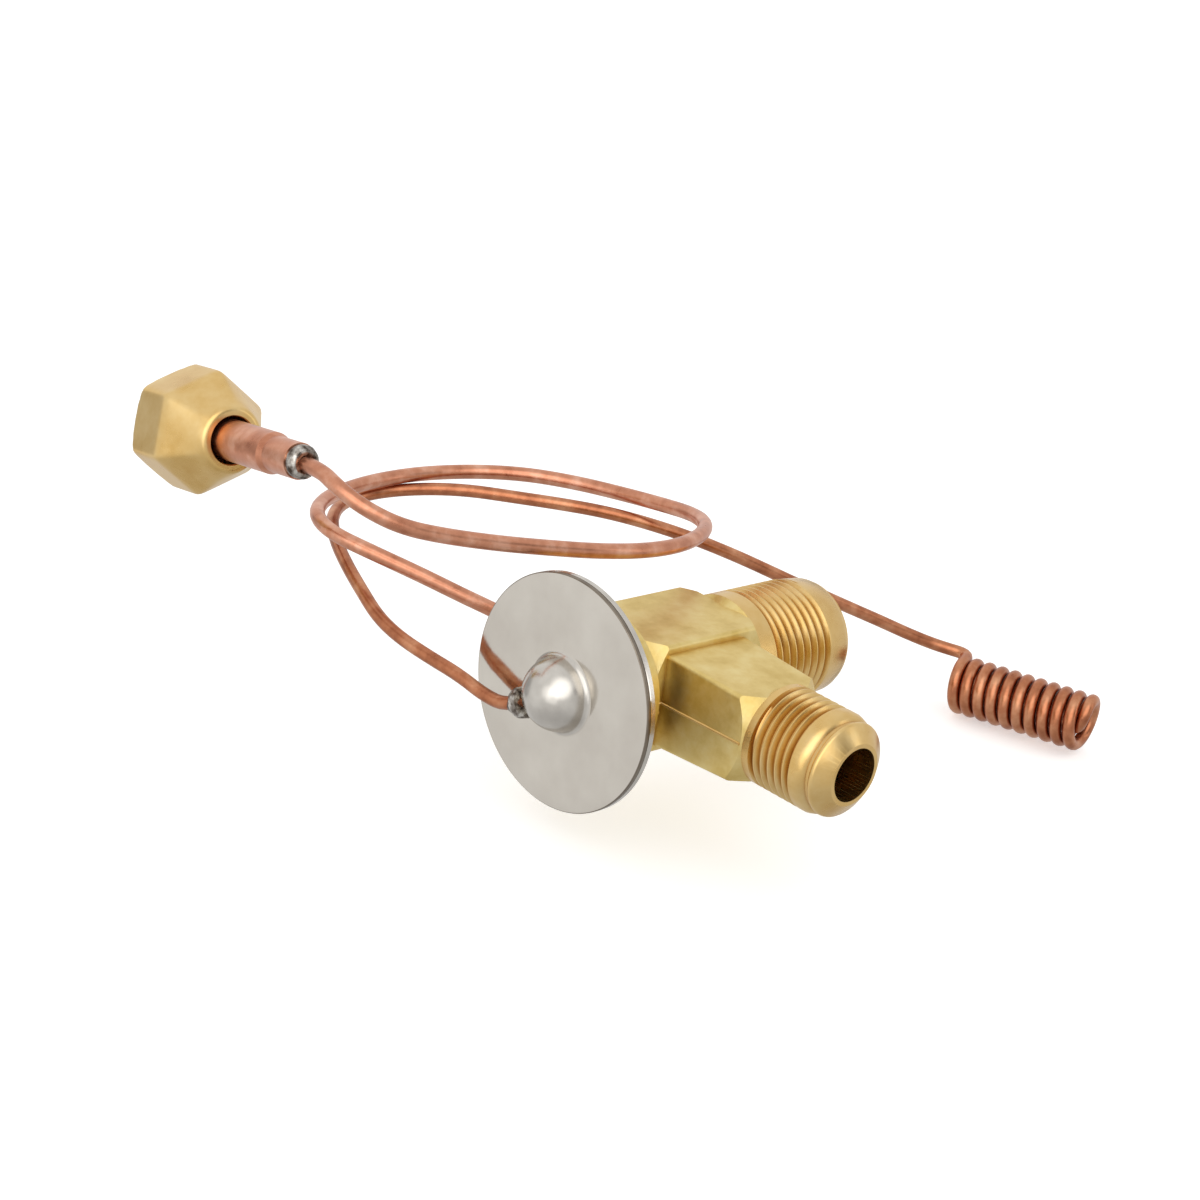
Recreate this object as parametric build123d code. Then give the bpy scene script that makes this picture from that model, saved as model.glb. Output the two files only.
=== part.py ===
"""Thermostatic expansion valve with flare ports, external equalizer line and coiled sensing bulb."""
import os
from math import atan2, pi, radians, sqrt, tan

from build123d import *

# Frame, in mm: +X is the main axis, from the diaphragm head to the outlet; the inlet branch points
# along -Y; +Z is square to the forging's parting plane. The origin is at the end of the outlet
# thread, on the main axis.

# ---- driving dimensions ----
outlet_to_head = 53.2  # end of the outlet thread to the head's front face
outlet_to_branch = 32.5  # end of the outlet thread to the inlet branch's axis
branch_reach = 36.4  # main axis to the end of the inlet thread

outlet_thread_r = 19.05 / 2  # 3/4-16, for half-inch flare
outlet_bore_r = 5.6
outlet_nose_length = 2.9
inlet_thread_r = 15.875 / 2  # 5/8-18, for three-eighths flare
inlet_bore_r = 4.18
inlet_nose_length = 3.4
nose_lip = 0.65  # width of the flat ring round a flare nose's mouth
nose_step = 0.85  # step from the thread's outside down to the nose
thread_chamfer = 0.45
shank_root = 3.0  # how deep a port's turned shank is rooted inside its block
shank_root_step = 1.6  # its radius there, below the thread's

block_half_width = 8.4
block_half_height = 8.6
block_under_collar = 0.8  # how far the block reaches in below the collar
outlet_shank_length = 20.0  # end of the outlet thread to the block
draft = 5.0  # degrees
inlet_shank_length = 11.4  # end of the inlet thread to the branch block
branch_block_half_width = 8.7
branch_block_half_height = 7.7
branch_block_end_width = 7.7
branch_block_end_height = 6.7
branch_ridge = 0.5  # how far the parting line stands out from the branch block's edges
forging_edge_r = 0.7
collar_r = 11.5
collar_length = 4.8
neck_r = 7.95
neck_cone_r = 8.3  # where the block's head end is turned down beside the collar

head_r = 17.95
sheet = 0.7
diaphragm_thickness = 0.2
rim_width = 2.75
dish_floor_r = 11.0
dish_depth = 2.6  # depth of the lower dish below its rim
diaphragm_sag = 1.0
dome_r = 5.7
dome_wall = 0.7
dome_base_fillet = 0.9

stroke = 0.8  # travel of the ball from its seat when fully open
fit = 0.05  # radial clearance of a running fit
loose = 0.3  # clearance between moving pieces that don't guide each other
seated = 0.02  # clearance of a piece that is pressed or soldered in

plate_r = 10.3
plate_thickness = 1.2
chamber_r = 5.9
chamber_depth = 9.8
rod_r = 0.75
rod_offset = 4.5
seal_r = 1.6
seal_length = 1.8
orifice_r = 1.5
seat_r = 3.1
branch_to_seat = 4.8  # branch axis to the back of the seat
seat_length = 2.5
passage_r = 1.9
ball_r = 2.1
carrier_flange = 2.0
carrier_flat = 4.1
guide_r = 3.1
guide_length = 4.6
spring_wire = 1.0
spring_r = 3.9
spring_turns = 5.5
spring_length = 13.6
adjuster_length = 5.0
adjuster_socket = 5.0  # across flats
inlet_passage_r = 2.4
inlet_bore_depth = 25.6
strainer_setback = 8.3
strainer_ring_length = 1.5
strainer_ring_wall = 0.75
strainer_length = 12.5
strainer_wall = 0.25
strainer_tip_r = 0.9

capillary_d = 2.1
equalizer_d = 2.38
equalizer_bore = 1.3
capillary_insert = 2.4  # from the dome's middle to the capillary's open end
dome_bead_end = 6.9  # from the dome's middle to the end of the solder bead
solder_length = 2.2
equalizer_boss_r = 3.3
equalizer_boss_height = 2.4
equalizer_insert = 4.0

coil_r = 4.0  # to the middle of the tube
coil_pitch = 2.33
coil_turns = 10
coil_start = (96.7, 0.0, -16.8)  # x from the head's front face
coil_direction = (0.293, -0.955, 0.030)
coil_lead = 4.0

nut_face = (-20.8, 55.3, 22.4)  # x from the head's front face
nut_direction = (-0.133, -0.972, 0.193)  # from the nut towards the soldered end of its stub
nut_corner = (0.209, 0.163, 0.964)
nut_flats = 17.0
nut_hex_length = 8.15
nut_nose_length = 7.2
nut_nose_r = 5.0
nut_thread_r = 4.95  # tapping size of 7/16-20, for quarter-inch flare
nut_thread_length = 8.4
nut_hole_r = 3.7
stub_r = 6.35 / 2
stub_wall = 0.8
stub_flare_r = 4.45
stub_end_r = 2.75
stub_swage_at = 12.0
stub_length = 19.3
stub_grip = 5.0
stub_solder_r = 2.55
stub_solder_length = 1.9
equalizer_exit = 4.9  # straight stretch of the line beyond the stub's end

# The equalizer line's route, from the stub's solder to the boss on the body's far side. In both
# routes, x is measured from the head's front face.
equalizer_route = [
    (-24.5, 26.2, 25.9), (-22.5, 22.2, 23.9), (-18.2, 18.6, 21.8), (-12.0, 15.8, 20.5),
    (-4.4, 12.5, 19.5), (3.4, 9.9, 18.6), (11.3, 7.4, 17.8), (19.9, 6.4, 16.9),
    (29.0, 7.6, 15.9), (38.0, 11.4, 14.9), (44.6, 16.7, 13.8), (48.8, 23.6, 12.3),
    (49.9, 31.1, 10.9), (48.7, 39.2, 10.0), (45.3, 47.2, 9.6), (40.3, 54.0, 9.3),
    (33.8, 59.1, 8.8), (25.9, 62.6, 8.3), (17.3, 63.6, 8.0), (8.3, 61.8, 8.2),
    (0.0, 57.6, 8.8), (-5.7, 52.0, 9.3), (-7.4, 45.8, 9.0), (-4.2, 39.3, 7.7),
    (0.5, 33.2, 5.7), (5.2, 28.3, 3.4), (9.8, 23.8, 1.3), (12.2, 18.6, 0.0),
]
# The capillary's route, from the dome to the coil
capillary_route = [
    (-2.8, 7.5, -4.7), (-3.3, 12.0, -4.8), (-3.9, 17.2, -3.6), (-4.9, 23.3, -2.9),
    (-5.8, 29.2, -2.0), (-5.8, 34.6, -0.8), (-4.6, 40.2, 1.0), (-2.8, 46.4, 2.6),
    (0.2, 53.4, 3.9), (4.6, 60.0, 4.6), (10.6, 64.4, 4.8), (17.8, 64.5, 5.4),
    (24.2, 61.2, 6.3), (29.6, 56.0, 7.2), (34.6, 49.9, 7.5), (39.6, 44.2, 7.7),
    (44.3, 39.2, 7.6), (49.3, 34.5, 6.8), (55.8, 29.5, 5.0), (63.1, 24.7, 2.2),
    (70.0, 20.9, -0.9), (76.3, 18.0, -3.7), (82.3, 15.2, -6.3), (88.0, 12.4, -8.7),
    (93.0, 9.2, -10.9), (97.4, 6.0, -12.5),
]

# ---- places along the main axis that follow from the sizes ----
head_x = -outlet_to_head
branch_x = -outlet_to_branch
clamp_x = head_x + sheet  # back of the head's front sheet
dish_x = clamp_x + diaphragm_thickness  # front of the dish's rim
dish_floor_x = dish_x + dish_depth
collar_x = dish_floor_x + sheet
block_end_x = -outlet_shank_length
neck_end_x = collar_x + collar_length
block_start_x = neck_end_x - block_under_collar
block_length = block_end_x - block_start_x
chamber_end_x = dish_floor_x + chamber_depth
plate_x = clamp_x + diaphragm_sag + diaphragm_thickness + fit
seat_back_x = branch_x + branch_to_seat
seat_face_x = seat_back_x + seat_length
ball_x = seat_face_x + sqrt(ball_r**2 - orifice_r**2) + stroke + fit
carrier_x = ball_x
spring_x = carrier_x + carrier_flange
adjuster_x = spring_x + spring_length
equalizer_x = head_x + equalizer_route[-1][0]
boss_face_y = block_half_width + block_half_height * tan(radians(draft)) + equalizer_boss_height

main_axis = Plane(origin=(0, 0, 0), x_dir=(0, 1, 0), z_dir=(1, 0, 0))
branch_axis = Plane(origin=(branch_x, 0, 0), x_dir=(1, 0, 0), z_dir=(0, -1, 0))
boss_axis = Plane(origin=(equalizer_x, 0, 0), x_dir=(1, 0, 0), z_dir=(0, 1, 0))
head_front = Vector(head_x, 0, 0)
nut_axis = Plane(origin=head_front + Vector(nut_face), x_dir=nut_corner, z_dir=nut_direction)
coil_axis = Plane(origin=head_front + Vector(coil_start), x_dir=(0, 0, 1), z_dir=coil_direction)


# ---- ways of making a shape ----
def turned(plane, outline):
    """A solid of revolution about the plane's normal, from (distance along it, radius) pairs."""
    section = make_face(Plane.XZ * Polyline(*[(r, d) for d, r in outline], close=True))
    return plane * revolve(section, Axis.Z)


def rod(plane, start, end, radius):
    """A round bar along the plane's normal."""
    return turned(plane, [(start, 0), (start, radius), (end, radius), (end, 0)])


def bend_radii(points):
    """Radii of the tangent arcs, as large as the two runs beside each point allow."""
    runs = [Vector(b) - Vector(a) for a, b in zip(points, points[1:])]
    return [
        0.45 * min(before.length, after.length) / tan(radians(before.get_angle(after)) / 2)
        for before, after in zip(runs, runs[1:])
    ]


def tube(path, diameter):
    """A round bar swept along a path."""
    section = Plane(origin=path @ 0, z_dir=path % 0) * Circle(diameter / 2)
    return sweep(section, path)


def bent_path(points):
    return FilletPolyline(*points, radius=bend_radii(points))


def from_head(route):
    """A route's points, moved from the head's front face to the part's origin."""
    return [head_front + Vector(point) for point in route]


# ---- the forged body ----
def flare_port(plane, thread_end, shank_length, thread_r, bore_r, nose_length):
    """The turned shank and the 45 degree nose of a male flare port."""
    nose_cone = thread_r - nose_step - bore_r - nose_lip
    root = thread_end - shank_length - shank_root
    return turned(plane, [
        (root, 0),
        (root, thread_r - shank_root_step),
        (thread_end - shank_length, thread_r - shank_root_step),
        (thread_end - shank_length, thread_r),
        (thread_end, thread_r),
        (thread_end + thread_chamfer, thread_r - thread_chamfer),
        (thread_end + thread_chamfer, thread_r - nose_step),
        (thread_end + nose_length - nose_cone, thread_r - nose_step),
        (thread_end + nose_length, bore_r + nose_lip),
        (thread_end + nose_length, 0),
    ])


def main_block():
    """The drafted block round the main axis, its two ends turned to cones."""
    middle_half_width = block_half_width + block_half_height * tan(radians(draft))
    plan = Pos(block_start_x + block_length / 2, 0) * Rectangle(block_length, 2 * middle_half_width)
    half = extrude(plan, block_half_height, taper=draft)
    half = fillet(half.faces().sort_by(Axis.Z)[-1].edges().filter_by(Axis.X), forging_edge_r)
    block = half + mirror(half, Plane.XY)
    corner_r = 1.1 * sqrt(middle_half_width**2 + block_half_height**2)
    cone_start = block_end_x + outlet_thread_r - corner_r
    return block & turned(main_axis, [
        (block_start_x, 0), (block_start_x, neck_cone_r), (neck_end_x, neck_cone_r),
        (neck_end_x + corner_r - neck_cone_r, corner_r), (cone_start, corner_r),
        (block_end_x, outlet_thread_r), (block_end_x, 0),
    ])


def branch_block():
    """The six-sided block of the inlet branch, tapering outwards, its end turned to a cone."""
    end = branch_reach - inlet_shank_length

    def section(distance, half_width, half_height):
        outline = [
            (half_width, half_height), (half_width + branch_ridge, 0), (half_width, -half_height),
            (-half_width, -half_height), (-half_width - branch_ridge, 0), (-half_width, half_height),
        ]
        return branch_axis.offset(distance) * make_face(Polyline(*outline, close=True))

    block = loft([
        section(0, branch_block_half_width, branch_block_half_height),
        section(end, branch_block_end_width, branch_block_end_height),
    ])
    corners = block.edges().filter_by(
        lambda edge: abs(edge.center().Z) > 0.6 * branch_block_end_height
        and edge.length > 0.9 * end
    )
    block = fillet(corners, forging_edge_r)
    corner_r = 1.2 * sqrt(branch_block_half_width**2 + branch_block_half_height**2)
    cone_start = end + inlet_thread_r - corner_r
    return block & turned(branch_axis, [
        (0, 0), (0, corner_r), (cone_start, corner_r), (end, inlet_thread_r), (end, 0),
    ])


def valve_body():
    forging = main_block() + branch_block()
    forging += rod(boss_axis, 0, boss_face_y, equalizer_boss_r)
    forging += rod(main_axis, collar_x, neck_end_x, collar_r)
    forging += rod(main_axis, dish_floor_x, neck_end_x, neck_r)
    forging += flare_port(
        main_axis, 0, outlet_shank_length, outlet_thread_r, outlet_bore_r, outlet_nose_length
    )
    forging += flare_port(
        branch_axis, branch_reach, inlet_shank_length, inlet_thread_r, inlet_bore_r,
        inlet_nose_length,
    )
    # bores along the main axis: diaphragm chamber, orifice passage, seat pocket, outlet
    forging -= rod(main_axis, dish_floor_x, chamber_end_x, chamber_r)
    forging -= rod(main_axis, branch_x, seat_back_x, passage_r)
    forging -= rod(main_axis, seat_back_x, seat_face_x, seat_r + seated)
    forging -= rod(main_axis, seat_face_x, outlet_nose_length, outlet_bore_r)
    # inlet bore and its narrower passage to the middle
    inlet_mouth = branch_reach + inlet_nose_length
    forging -= rod(branch_axis, inlet_mouth - inlet_bore_depth, inlet_mouth, inlet_bore_r)
    forging -= rod(branch_axis, 0, inlet_mouth - inlet_bore_depth, inlet_passage_r)
    # equalizer hole: the tube's pocket, then a drilling into the diaphragm chamber
    pocket = boss_face_y - equalizer_insert
    forging -= rod(boss_axis, pocket, boss_face_y, equalizer_d / 2 + seated)
    forging -= rod(boss_axis, 0, pocket, equalizer_bore / 2)
    for rod_plane in push_rod_axes():
        forging -= rod(rod_plane, chamber_end_x, seat_face_x, rod_r + fit)
        forging -= rod(rod_plane, chamber_end_x, chamber_end_x + seal_length, seal_r)
    return forging


def push_rod_axes():
    """The axes of the two push rods, above and below the inlet passage."""
    return [
        Plane(origin=(0, 0, side * rod_offset), x_dir=(0, 1, 0), z_dir=(1, 0, 0))
        for side in (1, -1)
    ]


# ---- the diaphragm head ----
def head_cap():
    """The front sheet with its hollow dome."""
    front = Pos(clamp_x - head_r, 0, 0) * Box(2 * head_r, 4 * head_r, 4 * head_r)
    cap = rod(main_axis, head_x, clamp_x, head_r) + (Pos(head_front) * Sphere(dome_r) & front)
    seam = cap.edges().filter_by(GeomType.CIRCLE).filter_by(
        lambda edge: abs(edge.center().X - head_x) < 0.01 and edge.radius < 0.9 * head_r
    )
    cap = fillet(seam, dome_base_fillet) - Pos(head_front) * Sphere(dome_r - dome_wall)
    cap -= rod(main_axis, head_x, clamp_x, dome_r - dome_wall)
    return cap - rod(capillary_entry(), 0, 2 * dome_r, capillary_d / 2 + seated)


def capillary_entry():
    """The line along which the capillary goes into the dome, from the dome's middle outwards."""
    first = from_head(capillary_route)[0]
    middle = Vector(first.X, 0, 0)
    return Plane(origin=middle, z_dir=first - middle)


def head_dish():
    inner_slope_r = head_r - rim_width
    return turned(main_axis, [
        (dish_x, head_r),
        (dish_x, inner_slope_r),
        (dish_floor_x, dish_floor_r),
        (dish_floor_x, neck_r),
        (collar_x, neck_r),
        (collar_x, dish_floor_r + 0.35 * sheet),
        (dish_x + sheet, inner_slope_r + 0.35 * sheet),
        (dish_x + sheet, head_r),
    ])


def diaphragm():
    clamped_r = head_r - rim_width - loose
    flat_r = dish_floor_r - loose
    sagged = clamp_x + diaphragm_sag
    return turned(main_axis, [
        (clamp_x, head_r), (clamp_x, clamped_r), (sagged, flat_r), (sagged, 0),
        (sagged + diaphragm_thickness, 0), (sagged + diaphragm_thickness, flat_r),
        (dish_x, clamped_r), (dish_x, head_r),
    ])


# ---- the valve mechanism ----
def diaphragm_plate():
    return rod(main_axis, plate_x, plate_x + plate_thickness, plate_r)


def push_rods():
    start = plate_x + plate_thickness
    return Compound([rod(plane, start, carrier_x, rod_r) for plane in push_rod_axes()])


def push_rod_seals():
    rings = []
    for plane in push_rod_axes():
        ring = rod(plane, chamber_end_x, chamber_end_x + seal_length, seal_r)
        rings.append(ring - rod(plane, chamber_end_x, chamber_end_x + seal_length, rod_r + fit))
    return Compound(rings)


def valve_seat():
    ring = rod(main_axis, seat_back_x, seat_face_x, seat_r)
    return ring - rod(main_axis, seat_back_x, seat_face_x, orifice_r)


def valve_ball():
    return Pos(ball_x, 0, 0) * Sphere(ball_r)


def ball_carrier():
    """A flanged guide with a socket for the ball and two flats for the flow."""
    flange = rod(main_axis, carrier_x, spring_x, outlet_bore_r - loose)
    flange &= Pos(carrier_x, 0, 0) * Box(4 * carrier_flange, 2 * carrier_flat, 4 * outlet_bore_r)
    guide = rod(main_axis, spring_x, spring_x + guide_length, guide_r)
    return flange + guide - Pos(ball_x, 0, 0) * Sphere(ball_r + seated)


def superheat_spring():
    wire_r = spring_wire / 2
    height = spring_length - spring_wire - 2 * seated
    coil = Helix(height / spring_turns, height, spring_r)
    return main_axis * Pos(0, 0, spring_x + wire_r + seated) * tube(coil, spring_wire)


def adjusting_nut():
    nut = rod(main_axis, adjuster_x, adjuster_x + adjuster_length, outlet_bore_r - fit)
    socket = main_axis.offset(adjuster_x) * RegularPolygon(adjuster_socket / 2, 6, major_radius=False)
    return nut - extrude(socket, adjuster_length)


def inlet_strainer():
    """A cone of fine mesh, made as a thin closed wall."""
    mouth = branch_reach + inlet_nose_length - strainer_setback - strainer_ring_length
    mouth_r = inlet_bore_r - seated - strainer_ring_wall
    tip = mouth - strainer_length
    return turned(branch_axis, [
        (mouth, mouth_r), (tip, strainer_tip_r), (tip, 0), (tip + strainer_wall, 0),
        (tip + strainer_wall, strainer_tip_r - strainer_wall), (mouth, mouth_r - strainer_wall),
    ])


def strainer_ring():
    front = branch_reach + inlet_nose_length - strainer_setback
    back = front - strainer_ring_length
    outer_r = inlet_bore_r - seated
    ring = rod(branch_axis, back, front, outer_r)
    return ring - rod(branch_axis, back, front, outer_r - strainer_ring_wall - strainer_wall)


# ---- the tubes ----
def coil_tangent():
    """The direction of the coil's first millimetre, in the coil's own plane."""
    lead_angle = atan2(coil_pitch, 2 * pi * coil_r)
    return Vector(0, 1, tan(lead_angle)).normalized()


def capillary_tube():
    """The capillary from inside the dome to the coil, and the coil with its end turned inwards."""
    start = capillary_entry().from_local_coords((0, 0, capillary_insert))
    top = coil_axis.from_local_coords((coil_r, 0, 0))
    lead = coil_axis.from_local_coords(Vector(coil_r, 0, 0) - coil_tangent() * coil_lead)
    run = bent_path([start, *from_head(capillary_route), lead, top])
    height = coil_pitch * coil_turns
    tail_start = Vector(coil_r, 0, height)
    tail_end = Vector(-0.34 * coil_r, 0.62 * coil_r, height + 0.5 * coil_pitch)
    tail = TangentArc(tail_start, tail_end, tangent=coil_tangent())
    turn = Helix(coil_pitch, coil_pitch, coil_r)
    turns = [coil_axis * Pos(0, 0, i * coil_pitch) * turn for i in range(coil_turns)]
    path = Wire([edge for part in (run, *turns, coil_axis * tail) for edge in part.edges()])
    return tube(path, capillary_d)


def capillary_solder():
    """The bead where the capillary goes into the dome."""
    r = capillary_d / 2 + seated
    inside = dome_bead_end - 3 * r
    bead = turned(capillary_entry(), [
        (inside, r), (inside, 2.3 * r), (dome_bead_end - 1.4 * r, 2.1 * r),
        (dome_bead_end, 1.25 * r), (dome_bead_end, r),
    ])
    return bead - Pos(head_front) * Sphere(dome_r)


def equalizer_tube():
    """The line from the stub's solder to the pocket in the body's boss."""
    start = nut_axis.from_local_coords((0, 0, stub_length - stub_grip))
    leaving = nut_axis.from_local_coords((0, 0, stub_length + equalizer_exit))
    end = Vector(equalizer_x, boss_face_y - equalizer_insert, 0)
    path = bent_path([start, leaving, *from_head(equalizer_route), end])
    return tube(path, equalizer_d) - tube(path, equalizer_bore)


def equalizer_solder():
    r = equalizer_d / 2 + seated
    return turned(boss_axis, [
        (boss_face_y, r), (boss_face_y, 2.2 * r), (boss_face_y + 0.4 * solder_length, 1.6 * r),
        (boss_face_y + solder_length, 1.15 * r), (boss_face_y + solder_length, r),
    ])


# ---- the equalizer fitting ----
def stub_tube():
    """The flared stub, swaged down at its other end."""
    slope = stub_flare_r - stub_r
    nut_thread_end = nut_thread_length - nut_nose_length - nut_hex_length
    flare_end = nut_thread_end + nut_thread_r - stub_flare_r - loose * sqrt(2)
    hole = equalizer_d / 2 + seated
    return turned(nut_axis, [
        (flare_end, stub_flare_r - stub_wall), (flare_end, stub_flare_r),
        (flare_end + slope, stub_r), (stub_swage_at, stub_r),
        (stub_swage_at + 1, stub_end_r), (stub_length, stub_end_r), (stub_length, hole),
        (stub_length - stub_grip, hole), (stub_length - stub_grip, stub_end_r - stub_wall),
        (stub_swage_at + 1, stub_end_r - stub_wall), (stub_swage_at, stub_r - stub_wall),
        (flare_end + slope, stub_r - stub_wall),
    ])


def stub_solder():
    """The dished ring of solder on the stub's end."""
    hole = equalizer_d / 2 + seated
    lip = stub_length + stub_solder_length
    return turned(nut_axis, [
        (stub_length, hole), (stub_length, stub_solder_r), (lip - 0.7, stub_solder_r),
        (lip, stub_solder_r - 0.35), (lip, stub_solder_r - 0.7),
        (lip - 0.7, hole + 0.25), (lip - 0.7, hole),
    ])


def flare_nut():
    """A short forged flare nut: a hexagon that blends into a round nose."""
    across_corners = nut_flats / sqrt(3)
    hexagon = nut_axis.offset(-nut_nose_length) * RegularPolygon(across_corners, 6)
    nose_end = nut_axis * Circle(nut_nose_r)
    nut = extrude(hexagon, -nut_hex_length) + loft([hexagon, nose_end])
    mouth = -nut_nose_length - nut_hex_length
    thread_end = mouth + nut_thread_length
    cone = nut_thread_r - nut_hole_r
    return nut - turned(nut_axis, [
        (mouth, 0), (mouth, nut_thread_r), (thread_end, nut_thread_r),
        (thread_end + cone, nut_hole_r), (0, nut_hole_r), (0, 0),
    ])


nodes = {
    "valve_body": valve_body,
    "head_cap": head_cap,
    "head_dish": head_dish,
    "diaphragm": diaphragm,
    "diaphragm_plate": diaphragm_plate,
    "push_rods": push_rods,
    "push_rod_seals": push_rod_seals,
    "valve_seat": valve_seat,
    "valve_ball": valve_ball,
    "ball_carrier": ball_carrier,
    "superheat_spring": superheat_spring,
    "adjusting_nut": adjusting_nut,
    "inlet_strainer": inlet_strainer,
    "strainer_ring": strainer_ring,
    "capillary_tube": capillary_tube,
    "capillary_solder": capillary_solder,
    "equalizer_tube": equalizer_tube,
    "equalizer_solder": equalizer_solder,
    "stub_tube": stub_tube,
    "stub_solder": stub_solder,
    "flare_nut": flare_nut,
}

os.makedirs("parts", exist_ok=True)
for name, make in nodes.items():
    export_step(make(), f"parts/{name}.step")
    print("made", name)
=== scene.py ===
from math import acos, atan2, cos, degrees, exp, log, pi, radians, sin, sqrt, tan

import bpy
from mathutils import Matrix, Vector


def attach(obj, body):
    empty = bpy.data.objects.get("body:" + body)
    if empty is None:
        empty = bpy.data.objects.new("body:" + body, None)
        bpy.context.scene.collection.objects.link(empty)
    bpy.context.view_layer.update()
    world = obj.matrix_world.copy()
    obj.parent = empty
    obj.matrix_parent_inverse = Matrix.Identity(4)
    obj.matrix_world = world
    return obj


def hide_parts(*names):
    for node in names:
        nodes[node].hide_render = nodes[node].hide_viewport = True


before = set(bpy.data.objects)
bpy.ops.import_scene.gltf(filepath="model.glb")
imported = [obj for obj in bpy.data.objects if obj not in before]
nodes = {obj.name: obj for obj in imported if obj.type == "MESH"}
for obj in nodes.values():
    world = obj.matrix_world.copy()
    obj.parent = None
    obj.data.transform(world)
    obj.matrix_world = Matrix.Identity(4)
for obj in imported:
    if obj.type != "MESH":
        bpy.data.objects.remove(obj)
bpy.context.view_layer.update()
mm = 0.001
mergeGap = 0.002 * mm  # vertices nearer together than this are one
noiseLow, noiseHigh = 0.3, 0.7  # nearly all of a noise's values lie between these


def deselectAll():
    if bpy.context.object and bpy.context.object.mode != "OBJECT":
        bpy.ops.object.mode_set(mode="OBJECT")
    bpy.ops.object.select_all(action="DESELECT")


def pick(piece):
    deselectAll()
    piece.select_set(True)
    bpy.context.view_layer.objects.active = piece


def nameAfter(name):
    # the object just added gets its own name
    piece = bpy.context.object
    piece.name = name
    piece.data.name = name
    return piece


def editAll(piece):
    pick(piece)
    bpy.ops.object.mode_set(mode="EDIT")
    bpy.ops.mesh.select_all(action="SELECT")


def endEdit():
    bpy.ops.object.mode_set(mode="OBJECT")


def settle(piece, place):
    # the piece is put in its place, and that place goes into its mesh
    piece.matrix_world = place
    pick(piece)
    bpy.ops.object.transform_apply(location=True, rotation=True, scale=True)


def useModifier(piece, kind, **settings):
    pick(piece)
    modifier = piece.modifiers.new(kind.title(), kind)
    for key, value in settings.items():
        setattr(modifier, key, value)
    bpy.ops.object.modifier_apply(modifier=modifier.name)


def closeSeams(piece):
    editAll(piece)
    bpy.ops.mesh.remove_doubles(threshold=mergeGap)
    bpy.ops.mesh.normals_make_consistent(inside=False)
    endEdit()


def smoothShade(piece, angle):
    pick(piece)
    bpy.ops.object.shade_smooth_by_angle(angle=radians(angle))


def finishPiece(piece, material, slot, body, *replaced):
    piece.data.materials.clear()
    piece.data.materials.append(material)
    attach(piece, body)
    if replaced:
        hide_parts(*replaced)


def axisFrame(origin, direction, side):
    # local Z along direction, local X as near to side as it can be
    z = Vector(direction).normalized()
    x = (Vector(side) - Vector(side).dot(z) * z).normalized()
    y = z.cross(x)
    turn = Matrix((x, y, z)).transposed().to_4x4()
    return Matrix.Translation(Vector(origin) * mm) @ turn


def arc(alongMiddle, radiusMiddle, size, start, end, count=6):
    # points of an outline, from one angle to another, measured from the axis direction
    step = (end - start) / count
    angles = [radians(start + i * step) for i in range(count + 1)]
    return [(alongMiddle + size * cos(a), radiusMiddle + size * sin(a)) for a in angles]


def turnedPiece(name, outline, place, steps=96):
    # the closed outline, in mm as (along the axis, radius), is spun about the local Z axis
    bpy.ops.mesh.primitive_circle_add(vertices=len(outline), radius=mm, fill_type="NOTHING")
    piece = nameAfter(name)
    for vertex, (along, radius) in zip(piece.data.vertices, outline):
        vertex.co = (radius * mm, 0, along * mm)
    editAll(piece)
    bpy.ops.mesh.spin(steps=steps, angle=2 * pi, center=(0, 0, 0), axis=(0, 0, 1))
    closeSeams(piece)
    settle(piece, place)
    return piece


def copyOfNode(node, name):
    pick(nodes[node])
    bpy.ops.object.duplicate()
    piece = nameAfter(name)
    piece.parent = None
    for key in list(piece.keys()):
        del piece[key]
    editAll(piece)
    bpy.ops.mesh.remove_doubles(threshold=mergeGap)
    bpy.ops.mesh.customdata_custom_splitnormals_clear()
    endEdit()
    return piece


def combine(piece, tool, operation):
    useModifier(piece, "BOOLEAN", operation=operation, solver="EXACT", object=tool)
    bpy.data.objects.remove(tool)


def linear(hexColour):
    channels = [int(hexColour[i:i + 2], 16) / 255 for i in (1, 3, 5)]
    toLinear = [c / 12.92 if c <= 0.04045 else ((c + 0.055) / 1.055) ** 2.4 for c in channels]
    return (*toLinear, 1)


def addNode(tree, kind, settings=None, **links):
    # settings go on the node or its sockets, links join an earlier node's output to a socket
    node = tree.nodes.new(kind)
    for key, value in (settings or {}).items():
        if key == "stops":
            for i, (place, colour) in enumerate(value):
                element = node.color_ramp.elements[i] if i < 2 else node.color_ramp.elements.new(place)
                element.position = place
                element.color = linear(colour)
        elif isinstance(key, int) or key in node.inputs:
            node.inputs[key].default_value = value
        else:
            setattr(node, key, value)
    for key, output in links.items():
        socket = int(key[1:]) if key[0] == "i" and key[1:].isdigit() else key.replace("_", " ")
        tree.links.new(output, node.inputs[socket])
    return node


def newMaterial(name):
    material = bpy.data.materials.new(name)
    material.use_nodes = True
    return material, material.node_tree, material.node_tree.nodes["Principled BSDF"]


# where the crevice film (partly tarnish, partly painted shade) and the painted shade deep in bores start and
# are full, by how open a spot is, from 1 down to 0
tarnishAndShade = {
    "filmAndShadeFrom": 0.95, "filmAndShadeFull": 0.5, "deepShadeFrom": 0.34, "deepShadeFull": 0.08, "deepShadeAmount": 0.85,
    "samples": 8,
}


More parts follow.
